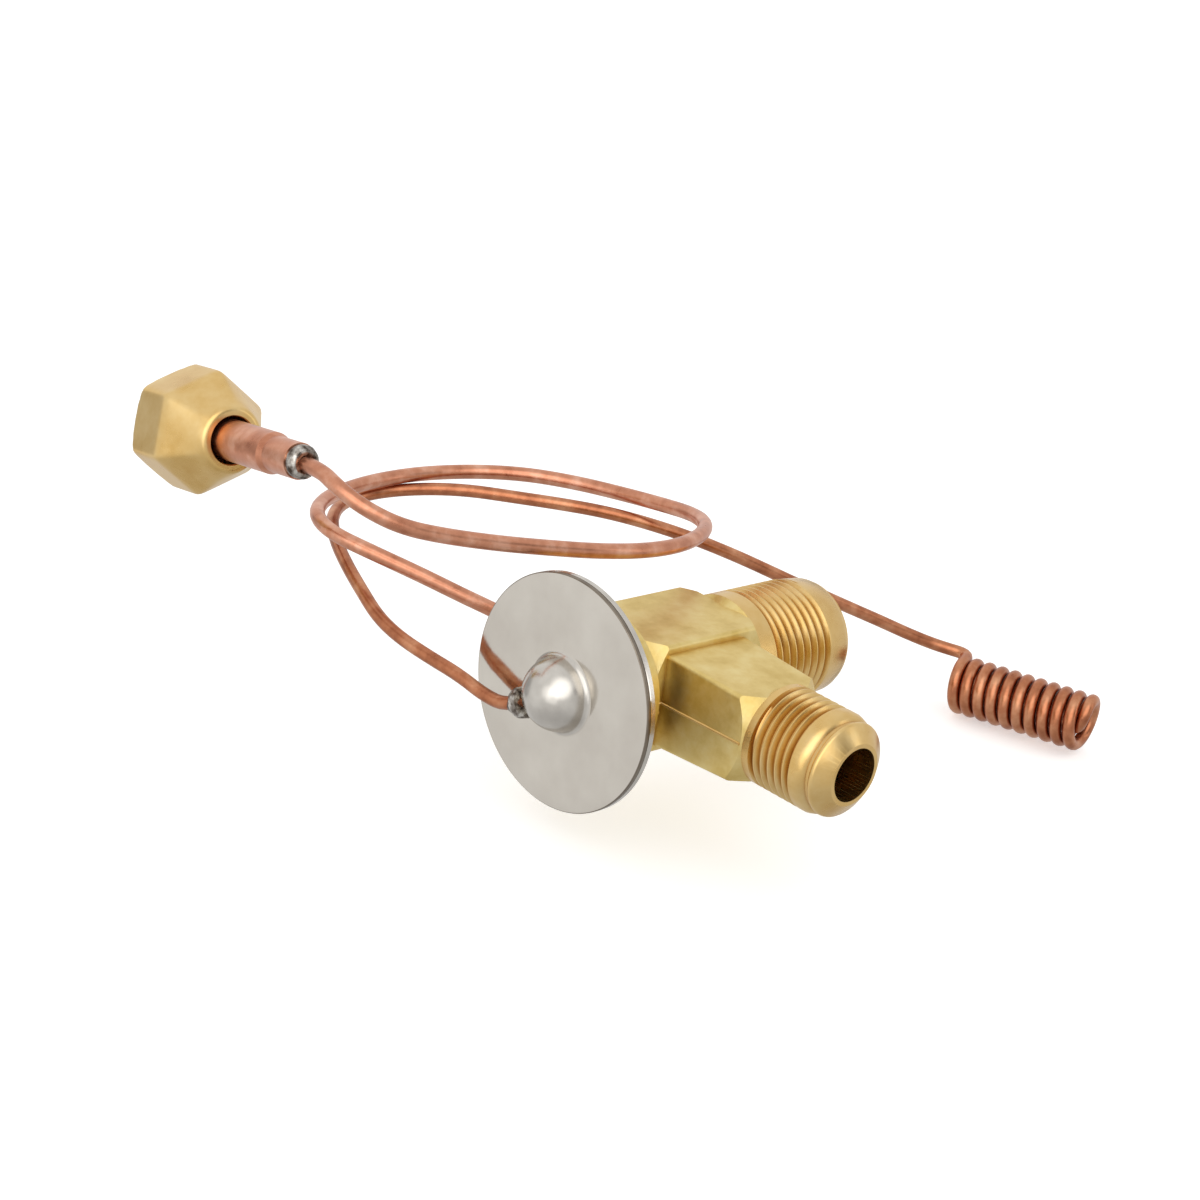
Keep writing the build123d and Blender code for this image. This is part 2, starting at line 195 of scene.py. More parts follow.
def makeMetal(name, metal):
    # shared by brass and copper: a mottled colour and gloss, fine grain, a light film in crevices
    # that is partly tarnish and partly painted shade, and dark painted shade deep in bores and gaps
    material, tree, shader = newMaterial(name)
    coords = addNode(tree, "ShaderNodeTexCoord").outputs["Object"]
    mottle = addNode(tree, "ShaderNodeTexNoise", {
        "Scale": 1 / (metal["mottleMm"] * mm), "Detail": 4, "Roughness": 0.6,
    }, Vector=coords).outputs["Fac"]
    grain = addNode(tree, "ShaderNodeTexNoise", {
        "Scale": 1 / (metal["grainMm"] * mm), "Detail": 2, "Roughness": 0.6,
    }, Vector=coords).outputs["Fac"]
    clean = addNode(
        tree, "ShaderNodeValToRGB", {"stops": metal["colours"]}, Fac=mottle).outputs["Color"]
    # the crevice film: partly tarnish, partly painted shade, stronger the less open a spot is
    nearOpen = addNode(tree, "ShaderNodeAmbientOcclusion", {
        "samples": tarnishAndShade["samples"], "only_local": True, "Distance": metal["creviceMm"] * mm}).outputs["AO"]
    filmAndShade = addNode(tree, "ShaderNodeMapRange", {
        "From Min": tarnishAndShade["filmAndShadeFrom"], "From Max": tarnishAndShade["filmAndShadeFull"],
        "To Min": 0.0, "To Max": metal["filmAndShadeAmount"],
    }, Value=nearOpen).outputs["Result"]
    filmedAndShaded = addNode(tree, "ShaderNodeMixRGB", {
        "Color2": linear(metal["filmAndShadeColour"])}, Fac=filmAndShade, Color1=clean).outputs["Color"]
    # painted shade: dark deep in bores and tight corners, and between the coil's turns
    farOpen = addNode(tree, "ShaderNodeAmbientOcclusion", {
        "samples": tarnishAndShade["samples"], "only_local": True, "Distance": metal["deepShadeMm"] * mm}).outputs["AO"]
    depth = addNode(tree, "ShaderNodeMapRange", {
        "From Min": tarnishAndShade["deepShadeFrom"], "From Max": tarnishAndShade["deepShadeFull"],
        "To Min": 0.0, "To Max": tarnishAndShade["deepShadeAmount"],
    }, Value=farOpen).outputs["Result"]
    colour = addNode(tree, "ShaderNodeMixRGB", {
        "Color2": linear(metal["deepShadeColour"])}, Fac=depth, Color1=filmedAndShaded).outputs["Color"]
    tree.links.new(colour, shader.inputs["Base Color"])
    smoothest, roughest = metal["roughness"]
    gloss = addNode(tree, "ShaderNodeMapRange", {
        "From Min": noiseLow, "From Max": noiseHigh, "To Min": smoothest, "To Max": roughest,
    }, Value=mottle).outputs["Result"]
    tree.links.new(gloss, shader.inputs["Roughness"])
    waves = addNode(tree, "ShaderNodeBump", {"Distance": metal["waveDepthMm"] * mm}, Height=mottle)
    sand = addNode(
        tree, "ShaderNodeBump", {"Distance": metal["grainDepthMm"] * mm},
        Height=grain, Normal=waves.outputs["Normal"],
    )
    tree.links.new(sand.outputs["Normal"], shader.inputs["Normal"])
    shader.inputs["Metallic"].default_value = 1.0
    return material


def makeSteel(name, steel):
    # rolled or ground steel: a soft mirror with faint streaks and a slight cloudiness
    material, tree, shader = newMaterial(name)
    coords = addNode(tree, "ShaderNodeTexCoord").outputs["Object"]
    drawn = addNode(
        tree, "ShaderNodeMapping", {"Scale": steel["streak"]}, Vector=coords).outputs["Vector"]
    streaks = addNode(tree, "ShaderNodeTexNoise", {
        "Scale": 1 / (steel["streakMm"] * mm), "Detail": 3, "Roughness": 0.6}, Vector=drawn).outputs["Fac"]
    cloud = addNode(tree, "ShaderNodeTexNoise", {
        "Scale": 1 / (steel["cloudMm"] * mm), "Detail": 3, "Roughness": 0.5}, Vector=coords).outputs["Fac"]
    colour = addNode(tree, "ShaderNodeValToRGB", {"stops": steel["colours"]}, Fac=cloud).outputs["Color"]
    tree.links.new(colour, shader.inputs["Base Color"])
    smoothest, roughest = steel["roughness"]
    gloss = addNode(tree, "ShaderNodeMapRange", {
        "From Min": noiseLow, "From Max": noiseHigh, "To Min": smoothest, "To Max": roughest,
    }, Value=streaks).outputs["Result"]
    tree.links.new(gloss, shader.inputs["Roughness"])
    bump = addNode(tree, "ShaderNodeBump", {"Distance": steel["streakDepthMm"] * mm}, Height=streaks)
    tree.links.new(bump.outputs["Normal"], shader.inputs["Normal"])
    shader.inputs["Metallic"].default_value = 1.0
    return material


def makeRubber(name, rubber):
    # moulded rubber: a fine grain in one dark colour
    material, tree, shader = newMaterial(name)
    coords = addNode(tree, "ShaderNodeTexCoord").outputs["Object"]
    grain = addNode(tree, "ShaderNodeTexNoise", {
        "Scale": 1 / (rubber["grainMm"] * mm)}, Vector=coords).outputs["Fac"]
    colour = addNode(tree, "ShaderNodeValToRGB", {"stops": rubber["colours"]}, Fac=grain)
    tree.links.new(colour.outputs["Color"], shader.inputs["Base Color"])
    bump = addNode(tree, "ShaderNodeBump", {"Distance": rubber["grainDepthMm"] * mm}, Height=grain)
    tree.links.new(bump.outputs["Normal"], shader.inputs["Normal"])
    shader.inputs["Roughness"].default_value = rubber["roughness"]
    return material


# hot forged brass, tumbled: sandy satin, straw on the flats, golden brown in the corners from tarnish and
# painted shade
forgedBrass = makeMetal("forgedBrass", {
    "mottleMm": 5.0, "colours": [(0.3, "#D4B668"), (0.5, "#E5CB84"), (0.7, "#EEDA9C")],
    "roughness": (0.36, 0.48), "waveDepthMm": 0.06, "grainMm": 0.4, "grainDepthMm": 0.03,
    "creviceMm": 1.0, "filmAndShadeAmount": 0.5, "filmAndShadeColour": "#B98A3A", "deepShadeMm": 14.0, "deepShadeColour": "#2A170C",
})
# turned and milled brass: warmer and brighter, with finer grain
turnedBrass = makeMetal("turnedBrass", {
    "mottleMm": 7.0, "colours": [(0.3, "#D6AE68"), (0.5, "#E2BE7C"), (0.7, "#EBCD92")],
    "roughness": (0.24, 0.34), "waveDepthMm": 0.015, "grainMm": 0.6, "grainDepthMm": 0.008,
    "creviceMm": 0.8, "filmAndShadeAmount": 0.6, "filmAndShadeColour": "#A86E2E", "deepShadeMm": 14.0, "deepShadeColour": "#2A170C",
})
# soft drawn copper tube: salmon, with darker finger marks
drawnCopper = makeMetal("drawnCopper", {
    "mottleMm": 3.5, "colours": [(0.3, "#BA7A5E"), (0.5, "#D29274"), (0.7, "#E6B298")],
    "roughness": (0.26, 0.38), "waveDepthMm": 0.03, "grainMm": 0.35, "grainDepthMm": 0.006,
    "creviceMm": 0.7, "filmAndShadeAmount": 0.4, "filmAndShadeColour": "#A0562C", "deepShadeMm": 2.0, "deepShadeColour": "#8A4822",
})
# the capillary's copper, handled more: browner, with an orange cast on the coil
handledCopper = makeMetal("handledCopper", {
    "mottleMm": 4.0, "colours": [(0.3, "#9C5E42"), (0.5, "#BE7B58"), (0.7, "#D89D78")],
    "roughness": (0.26, 0.38), "waveDepthMm": 0.02, "grainMm": 0.35, "grainDepthMm": 0.006,
    "creviceMm": 0.7, "filmAndShadeAmount": 0.35, "filmAndShadeColour": "#9A4E24", "deepShadeMm": 2.0, "deepShadeColour": "#8A4822",
})
# cold rolled stainless sheet, bright pressed: a soft mirror that shows the tube beside it
pressedSteel = makeSteel("pressedStainless", {
    "streak": (1.0, 1.0, 0.12), "streakMm": 0.7, "cloudMm": 9.0, "streakDepthMm": 0.002,
    "colours": [(0.3, "#C9C2B8"), (0.7, "#D6D0C6")], "roughness": (0.07, 0.13),
})
# the same sheet where the dome was drawn out of it: the stretched skin is less of a mirror
drawnSteel = makeSteel("drawnStainless", {
    "streak": (1.0, 1.0, 1.0), "streakMm": 1.5, "cloudMm": 3.0, "streakDepthMm": 0.004,
    "colours": [(0.3, "#C4BFB7"), (0.7, "#D8D3CB")], "roughness": (0.20, 0.27),
})
# the sheet's sheared edge: duller than its rolled faces, and darker in colour as a painted dark line of shade
# round the rim
shearedShadedSteel = makeSteel("shearedShadedStainless", {
    "streak": (0.12, 1.0, 1.0), "streakMm": 0.5, "cloudMm": 3.0, "streakDepthMm": 0.004,
    "colours": [(0.3, "#7B7064"), (0.7, "#8F8578")], "roughness": (0.3, 0.42),
})
# ground steel wire and balls: brighter and cooler
brightSteel = makeSteel("brightSteel", {
    "streak": (1.0, 1.0, 1.0), "streakMm": 0.8, "cloudMm": 4.0, "streakDepthMm": 0.002,
    "colours": [(0.3, "#A5A5A3"), (0.7, "#BDBDBA")], "roughness": (0.2, 0.3),
})
# silver solder left as it froze: grey skin, brown flux stains, wet looking crowns
silverSolder = makeSteel("silverSolder", {
    "streak": (1.0, 1.0, 1.0), "streakMm": 0.6, "cloudMm": 1.1, "streakDepthMm": 0.05,
    "colours": [(0.35, "#4E433A"), (0.5, "#9A928A"), (0.65, "#D4D0C8")], "roughness": (0.16, 0.4),
})
# moulded nitrile rubber: near black, soft sheen
nitrile = makeRubber("nitrileRubber", {
    "grainMm": 0.2, "grainDepthMm": 0.01, "colours": [(0.3, "#0E0E0E"), (0.7, "#1C1C1C")],
    "roughness": 0.55,
})
print("finishes ready")


body = {
    "outletRadius": 9.525, "outletPitch": 1.5875, "outletStart": -17.0, "outletEnd": -3.9,
    "inletRadius": 7.9375, "inletPitch": 1.4111, "inletStart": 25.95, "inletEnd": 34.6,
    "outletBlockEnd": -20.0, "inletBlockEnd": 25.0, "branchX": -32.5, "turnedPast": 0.1,
    # the cone between a block and its shank: its slope, its tip, and its hold in the metal
    "blendRise": 1.5, "blendLength": 2.0, "blendTip": (0.4, 0.35),
    "blendUnder": 0.02, "blendPast": 0.3, "blendSink": 1,
    # what the cutters leave, as (along the port, radius)
    "landOutline": [(-4.3, 9.5), (-4.0, 9.45), (-0.5, 9.1), (-0.1, 8.85), (0.3, 8.69), (0.6, 8.69)],
    "neckOutline": [(35.3, 7.9375), (36.15, 7.65), (36.5, 7.3), (36.7, 7.0), (37.1, 7.0)],
    "cutterReach": 0.5,
    # the inlet's nose: its root, its round shoulder as an arc, and its lip
    "noseRoot": [(37.0, 5.0), (37.0, 7.0)], "noseShoulder": (37.75, 6.75, 0.6, 180, 40),
    "noseLip": [(39.78, 4.85), (39.78, 4.6), (39.0, 4.4)],
    # where the flash runs: along the main block, clear of the branch, and along the branch
    "flashRadius": 0.22, "flashFrom": -45.5, "flashTo": -21.5, "flashSide": 8.2,
    "flashBranchGap": 8.0, "flashBranchEnd": -24.3, "flashBranchSide": (7.2, 10),
}
alongX = axisFrame((0, 0, 0), (1, 0, 0), (0, 1, 0))
downY = axisFrame((body["branchX"], 0, 0), (0, -1, 0), (1, 0, 0))


# a sixty degree thread, its crest and depth as shares of the pitch
thread = {
    "crest": 1 / 8, "depth": 0.5413, "flank": radians(30), "clear": 0.04, "fadeTurns": 0.4,
    "steps": 72,
}


def threadCutter(radius, pitch, start, end, place, outside=True):
    # a vee groove wound along the port, rising out of the metal over its first and last part turn
    depth = thread["depth"] * pitch
    clear = thread["clear"]
    rise = 1 if outside else -1
    halfTop = (pitch - thread["crest"] * pitch) / 2 + clear * tan(thread["flank"])
    halfRoot = halfTop - (depth + clear) * tan(thread["flank"])
    outline = [
        (-halfTop, radius + rise * clear), (halfTop, radius + rise * clear),
        (halfRoot, radius - rise * depth), (-halfRoot, radius - rise * depth),
    ]
    bpy.ops.mesh.primitive_circle_add(vertices=4, radius=mm, fill_type="NOTHING")
    cutter = nameAfter("threadCutter")
    for vertex, (along, r) in zip(cutter.data.vertices, outline):
        vertex.co = (r * mm, 0, (start + along) * mm)
    turns = (end - start) / pitch
    total = round(thread["steps"] * turns)
    useModifier(
        cutter, "SCREW", angle=2 * pi * turns, screw_offset=(end - start) * mm, iterations=1,
        steps=total, render_steps=total, axis="Z", use_merge_vertices=False,
    )
    for vertex in cutter.data.vertices:
        angle = atan2(vertex.co.y, vertex.co.x)
        r = Vector((vertex.co.x, vertex.co.y)).length
        turned = (vertex.co.z / mm - start) / pitch
        nearEnd = min(turned, turns - turned)
        lift = max(0.0, 1 - nearEnd / thread["fadeTurns"]) * (depth + clear) * mm * rise
        vertex.co.x = (r + lift) * cos(angle)
        vertex.co.y = (r + lift) * sin(angle)
    editAll(cutter)
    bpy.ops.mesh.select_all(action="DESELECT")
    bpy.ops.mesh.select_non_manifold()
    bpy.ops.mesh.fill_holes(sides=4)
    bpy.ops.mesh.select_all(action="SELECT")
    bpy.ops.mesh.normals_make_consistent(inside=False)
    endEdit()
    settle(cutter, place)
    return cutter


def shankBlend(radius, blockEnd, place):
    # the cone that the forging die leaves between a block's flats and its threaded shank
    start, past = blockEnd - body["blendLength"], blockEnd + body["blendPast"]
    low, high = radius - body["blendRise"], radius - body["blendUnder"]
    back, down = body["blendTip"]
    sink = body["blendSink"]
    return turnedPiece("shankBlend", [
        (start - sink, low - sink), (start, low), (blockEnd - back, radius - down),
        (blockEnd, high), (past, high), (past, low - sink),
    ], place)


def ringCutter(name, outline, radius, place):
    # takes away the metal of a port that stands outside an outline
    outer = radius + body["cutterReach"]
    return turnedPiece(name, [(outline[0][0], outer), *outline, (outline[-1][0], outer)], place)


def makeBody():
    piece = copyOfNode("valve_body", "brassBody")
    outlet, inlet = body["outletRadius"], body["inletRadius"]
    combine(piece, shankBlend(outlet, body["outletBlockEnd"], alongX), "UNION")
    combine(piece, shankBlend(inlet, body["inletBlockEnd"], downY), "UNION")
    # the plain land after the outlet's thread is turned down towards its end
    combine(piece, ringCutter("landCutter", body["landOutline"], outlet, alongX), "DIFFERENCE")
    # the inlet's nose: a turned neck behind a rounded shoulder, then the flare seat
    nose = [*body["noseRoot"], *arc(*body["noseShoulder"]), *body["noseLip"]]
    combine(piece, turnedPiece("noseRing", nose, downY), "UNION")
    combine(piece, ringCutter("neckCutter", body["neckOutline"], inlet, downY), "DIFFERENCE")
    combine(piece, threadCutter(
        outlet, body["outletPitch"], body["outletStart"], body["outletEnd"], alongX), "DIFFERENCE")
    combine(piece, threadCutter(
        inlet, body["inletPitch"], body["inletStart"], body["inletEnd"], downY), "DIFFERENCE")
    smoothShade(piece, angle=28)
    return piece


def makeFlash():
    # the thin bead left along the forging's parting line, round the two blocks only
    piece = copyOfNode("valve_body", "partingFlash")
    editAll(piece)
    bpy.ops.mesh.bisect(plane_co=(0, 0, 0), plane_no=(0, 0, 1), clear_inner=True, clear_outer=True)
    bpy.ops.mesh.select_all(action="DESELECT")
    endEdit()
    side = body["flashSide"]
    nearest, furthest = body["flashBranchSide"]
    for vertex in piece.data.vertices:
        x, y = vertex.co.x / mm, vertex.co.y / mm
        fromBranch = abs(x - body["branchX"])
        clearOfBranch = y > 0 or fromBranch > body["flashBranchGap"]
        besideMain = abs(y) > side and body["flashFrom"] < x < body["flashTo"] and clearOfBranch
        besideBranch = body["flashBranchEnd"] < y < -side and nearest < fromBranch < furthest
        vertex.select = not (besideMain or besideBranch)
    bpy.ops.object.mode_set(mode="EDIT")
    bpy.ops.mesh.select_mode(type="VERT")
    bpy.ops.mesh.delete(type="VERT")
    endEdit()
    pick(piece)
    bpy.ops.object.convert(target="CURVE")
    curve = bpy.context.object
    curve.data.bevel_depth = body["flashRadius"] * mm
    curve.data.bevel_resolution = 2
    curve.data.use_fill_caps = True
    bpy.ops.object.convert(target="MESH")
    flash = nameAfter("partingFlash")
    closeSeams(flash)
    smoothShade(flash, angle=50)
    return flash


def finishTurnedParts(piece):
    # the shanks, their threads and noses were turned; the blocks and the neck stay as forged
    turnedIndex = len(piece.data.materials)
    past = body["turnedPast"]
    piece.data.materials.append(turnedBrass)
    for face in piece.data.polygons:
        x, y = face.center.x / mm, face.center.y / mm
        if x > body["outletBlockEnd"] + past or y < -body["inletBlockEnd"] - past:
            face.material_index = turnedIndex


brassBody = makeBody()
partingFlash = makeFlash()
finishPiece(brassBody, forgedBrass, "brass_forging", "valve", "valve_body")
finishTurnedParts(brassBody)
finishPiece(partingFlash, turnedBrass, "brass_forging", "valve")
print("body forged and threaded", len(brassBody.data.polygons), len(partingFlash.data.polygons))


cap = {
    "front": -53.2, "radius": 17.95, "sheet": 0.7, "edgeRound": 0.22, "backRound": 0.15,
    "domeRadius": 5.7, "domeWall": 0.7, "domeFillet": 0.9,
    # rings that only keep the flat faces' shading even, and the share of a rounded edge that
    # takes the finish beside it
    "faceRings": (9.0, 12.0, 15.0), "backRing": 12.0, "finishShare": 0.6, "steps": 160,
}


def makeCap():
    # the pressed front sheet of the head, in one with its dome
    dome, fillet, edge = cap["domeRadius"], cap["domeFillet"], cap["edgeRound"]
    sheet, backEdge = cap["sheet"], cap["backRound"]
    middle = sqrt((dome + fillet) ** 2 - fillet ** 2)
    seam = degrees(acos(fillet / (dome + fillet)))
    inside = dome - cap["domeWall"]
    back = sqrt(inside ** 2 - sheet ** 2)
    outline = [
        *arc(0, 0, dome, 180, 180 - seam, count=24),
        *arc(-fillet, middle, fillet, -seam, 0, count=8)[1:],
        *[(0, ring) for ring in cap["faceRings"]],
        *arc(edge, cap["radius"] - edge, edge, 180, 90, count=5),
        *arc(sheet - backEdge, cap["radius"] - backEdge, backEdge, 90, 0, count=3),
        (sheet, cap["backRing"]), (sheet, back),
        *arc(0, 0, inside, degrees(atan2(back, sheet)), 180, count=24)[1:],
    ]
    place = axisFrame((cap["front"], 0, 0), (1, 0, 0), (0, 0, 1))
    piece = turnedPiece("headCap", outline, place, cap["steps"])
    smoothShade(piece, angle=40)
    return piece


headCap = makeCap()
finishPiece(headCap, pressedSteel, "stainless_polished", "valve", "head_cap")
headCap.data.materials.append(shearedShadedSteel)
headCap.data.materials.append(drawnSteel)
for face in headCap.data.polygons:
    fromAxis = Vector((face.center.y, face.center.z)).length / mm
    # the outer share of the rounded rim takes the darker steel: a painted dark line of shade
    if fromAxis > cap["radius"] - cap["finishShare"] * cap["edgeRound"]:
        face.material_index = 1
    elif fromAxis < cap["domeRadius"] + cap["finishShare"] * cap["domeFillet"]:
        face.material_index = 2
print("head cap pressed", len(headCap.data.polygons))


nut = {
    "face": (-20.8, 55.3, 22.4), "direction": (-0.133, -0.972, 0.193), "corner": (0.209, 0.163, 0.964),
    "flats": 17.0, "hexLength": 8.15, "noseLength": 7.2, "noseRadius": 5.0, "holeRadius": 3.7,
    "threadRadius": 4.95, "threadLength": 8.4, "pitch": 1.27, "threadFrom": 0.2, "threadShort": 0.9,
    "cornerSharpness": 34, "hinge": 0.3, "steps": 144, "ringGap": 0.3,
    # the mouth's outside chamfer, then the small ones in its thread and its hole
    "chamferIn": 0.1, "chamferSlope": 1.7, "chamferSharpness": 9.0,
    "mouthChamfer": 0.5, "holeChamfer": 0.15,
    # the nose's rounded end, which takes the place of the last few rings
    "noseRound": 1.0, "noseIn": 0.65, "noseFrom": 60, "noseRings": 3,
}
stub = {"length": 19.3, "grip": 5.0, "lineExit": 4.9}
headFront = Vector((cap["front"], 0, 0))  # the nut, the routes and the coil are measured from here


def fromHead(point):
    return headFront + Vector(point)


def alongNut(distance):
    return fromHead(nut["face"]) + Vector(nut["direction"]).normalized() * distance


nutPlace = axisFrame(fromHead(nut["face"]), nut["direction"], nut["corner"])


def hexRadius(angle, along):
    # a hexagon with softened corners, drawn in to a round nose and chamfered at its mouth
    apothem = nut["flats"] / 2
    power = nut["cornerSharpness"]
    flats = sum(abs(cos(angle - radians(side))) ** power for side in (30, 90, 150))
    hexagon = apothem / flats ** (1 / power)
    bend = nut["hinge"]
    drawnIn = bend * log(1 + exp((along + nut["noseLength"]) / bend)) / nut["noseLength"]
    radius = hexagon + (nut["noseRadius"] - hexagon) * min(1.0, drawnIn)
    fromMouth = along + nut["noseLength"] + nut["hexLength"]
    chamfer = apothem - nut["chamferIn"] + nut["chamferSlope"] * fromMouth
    sharp = nut["chamferSharpness"]
    return -log(exp(-sharp * (radius - apothem)) + exp(-sharp * (chamfer - apothem))) / sharp + apothem


def makeNut():
    mouth = -nut["noseLength"] - nut["hexLength"]
    threadEnd = mouth + nut["threadLength"]
    count = round(-mouth / nut["ringGap"])
    threadR, holeR, turnIn = nut["threadRadius"], nut["holeRadius"], nut["noseRound"]
    lead, bevel = nut["mouthChamfer"], nut["holeChamfer"]
    outside = [(mouth * (1 - i / count), None) for i in range(count - nut["noseRings"])]
    rings = [
        (mouth, threadR + lead), *outside,
        *arc(-turnIn, nut["noseRadius"] - nut["noseIn"], turnIn, nut["noseFrom"], 0),
        (0, holeR + bevel), (-bevel, holeR), (threadEnd + threadR - holeR, holeR),
        (threadEnd, threadR), (mouth + lead, threadR), (mouth, threadR + lead),
    ]
    bpy.ops.mesh.primitive_grid_add(x_subdivisions=nut["steps"], y_subdivisions=len(rings) - 1, size=mm)
    piece = nameAfter("flareNut")
    row = nut["steps"] + 1
    for i, vertex in enumerate(piece.data.vertices):
        angle = 2 * pi * (i % row) / nut["steps"]
        along, radius = rings[i // row]
        radius = hexRadius(angle, along) if radius is None else radius
        vertex.co = (radius * cos(angle) * mm, radius * sin(angle) * mm, along * mm)
    closeSeams(piece)
    settle(piece, nutPlace)
    cutter = threadCutter(
        threadR, nut["pitch"], mouth + nut["threadFrom"], threadEnd - nut["threadShort"],
        nutPlace, outside=False)
    combine(piece, cutter, "DIFFERENCE")
    smoothShade(piece, angle=38)
    return piece


flareNut = makeNut()
finishPiece(flareNut, turnedBrass, "brass_nut", "nut", "flare_nut")
print("nut drawn in and threaded", len(flareNut.data.polygons))


tubeSides = 6  # Blender's bevel resolution, which gives a round of 16 sides
equalizerLine = {
    "diameter": 2.38, "fine": 10, "endShare": 1.0,
    "bossEnd": (12.2, 8.0, 0.0),
    "route": [
        (-24.5, 26.2, 25.9), (-22.5, 22.2, 23.9), (-18.2, 18.6, 21.8), (-12.0, 15.8, 20.5),
        (-4.4, 12.5, 19.5), (3.4, 9.9, 18.6), (11.3, 7.4, 17.8), (19.9, 6.4, 16.9),
        (29.0, 7.6, 15.9), (38.0, 11.4, 14.9), (44.6, 16.7, 13.8), (48.8, 23.6, 12.3),
        (49.9, 31.1, 10.9), (48.7, 39.2, 10.0), (45.3, 47.2, 9.6), (40.3, 54.0, 9.3),
        (33.8, 59.1, 8.8), (25.9, 62.6, 8.3), (17.3, 63.6, 8.0), (8.3, 61.8, 8.2),
        (0.0, 57.6, 8.8), (-5.7, 52.0, 9.3), (-7.4, 45.8, 9.0), (-4.2, 39.3, 7.7),
        (0.5, 33.2, 5.7), (5.2, 28.3, 3.4), (9.8, 23.8, 1.3), (12.2, 18.6, 0.0),
    ],
}
capillary = {
    "diameter": 2.1, "fine": 5, "endShare": 0.45, "inDome": 2.4,
    "route": [
        (-2.8, 7.5, -4.7), (-3.3, 12.0, -4.8), (-3.9, 17.2, -3.6), (-4.9, 23.3, -2.9),
        (-5.8, 29.2, -2.0), (-5.8, 34.6, -0.8), (-4.6, 40.2, 1.0), (-2.8, 46.4, 2.6),
        (0.2, 53.4, 3.9), (4.6, 60.0, 4.6), (10.6, 64.4, 4.8), (17.8, 64.5, 5.4),
        (24.2, 61.2, 6.3), (29.6, 56.0, 7.2), (34.6, 49.9, 7.5), (39.6, 44.2, 7.7),
        (44.3, 39.2, 7.6), (49.3, 34.5, 6.8), (55.8, 29.5, 5.0), (63.1, 24.7, 2.2),
        (70.0, 20.9, -0.9), (76.3, 18.0, -3.7), (82.3, 15.2, -6.3), (88.0, 12.4, -8.7),
        (93.0, 9.2, -10.9), (97.4, 6.0, -12.5),
    ],
}
coil = {
    "start": (96.7, 0.0, -16.8), "direction": (0.293, -0.955, 0.030), "radius": 3.98, "pitch": 2.33,
    "turns": 10, "lead": 4.0, "pointsPerTurn": 16, "firstTurnIn": 0.2,
    # its end, turned in: across and beside in radii, along the coil in pitches
    "tail": [(0.95, 0.3, 0.04), (0.47, 0.62, 0.0), (-0.15, 0.5, -0.35), (-0.4, 0.15, -0.8)],
}


def coilPoints():
    place = axisFrame(fromHead(coil["start"]), coil["direction"], (0, 0, 1))
    step = 2 * pi / coil["pointsPerTurn"]
    wide = coil["radius"] / (0.75 + 0.25 * cos(step))  # the spline runs inside its points
    slope = coil["pitch"] / (2 * pi * coil["radius"])
    tangent = Vector((0, 1, slope)).normalized() * coil["lead"]
    points = [Vector((coil["radius"], 0, 0)) - tangent]
    for i in range(1, coil["turns"] * coil["pointsPerTurn"] + 1):
        angle = (i - 0.5) * step
        turned = angle / (2 * pi)
        rise = coil["pitch"] * turned + coil["firstTurnIn"] * max(0.0, 1 - turned)
        points.append(Vector((wide * cos(angle), wide * sin(angle), rise)))
    top = coil["pitch"] * coil["turns"]
    for across, beside, rise in coil["tail"]:
        radius, pitch = coil["radius"], coil["pitch"]
        points.append(Vector((across * radius, beside * radius, top + rise * pitch)))
    return [(place @ (point * mm)) / mm for point in points]


def tubeAlong(name, points, run):
    # endShare is the last end's share of the full diameter: less than 1 where it is pinched shut
    bpy.ops.curve.primitive_nurbs_path_add()
    curve = nameAfter(name)
    spline = curve.data.splines[0]
    spline.points.add(len(points) - len(spline.points))
    for place, point in zip(spline.points, points):
        place.co = (*(Vector(point) * mm), 1)
    spline.order_u = 3
    spline.use_endpoint_u = True
    spline.resolution_u = run["fine"]
    spline.points[-1].radius = run["endShare"]
    curve.data.bevel_depth = run["diameter"] / 2 * mm
    curve.data.bevel_resolution = tubeSides
    curve.data.use_fill_caps = True
    pick(curve)
    bpy.ops.object.convert(target="MESH")
    tube = bpy.context.object
    closeSeams(tube)
    smoothShade(tube, angle=40)
    return tube


capillaryRun = [fromHead(point) for point in capillary["route"]]
domeMiddle = Vector((capillaryRun[0].x, 0, 0))
intoDome = (capillaryRun[0] - domeMiddle).normalized()
capillaryTube = tubeAlong(
    "capillaryAndBulb",
    [domeMiddle + intoDome * capillary["inDome"], *capillaryRun, *coilPoints()],
    capillary,
)
finishPiece(capillaryTube, handledCopper, "copper_tube", "valve", "capillary_tube")
lineTube = tubeAlong(
    "equalizerLine",
    [alongNut(stub["length"] - stub["grip"]), alongNut(stub["length"] + stub["lineExit"]),
     *[fromHead(point) for point in equalizerLine["route"]], fromHead(equalizerLine["bossEnd"])],
    equalizerLine,
)
finishPiece(lineTube, drawnCopper, "copper_tube", "valve", "equalizer_tube")
print("tubes bent", len(capillaryTube.data.polygons), len(lineTube.data.polygons))


solder = {
    "lumpMm": 1.3, "domeLump": 0.55, "stubLump": 0.18, "intoTube": 0.1,
    # each bead's skin as (along, radius), and where it meets its tube
    "domeSkin": [
        (4.6, 2.3), (5.2, 2.45), (5.7, 2.4), (6.1, 2.15), (6.5, 1.85), (6.9, 1.6), (7.3, 1.4),
        (7.6, 1.2),
    ],
    "domeEnd": 7.7,
    "stubSkin": [
        (0, 2.55), (0.5, 2.6), (1.0, 2.55), (1.5, 2.35), (1.8, 2.05), (1.9, 1.75), (1.75, 1.45),
    ],
    "stubEnd": 1.6,
}


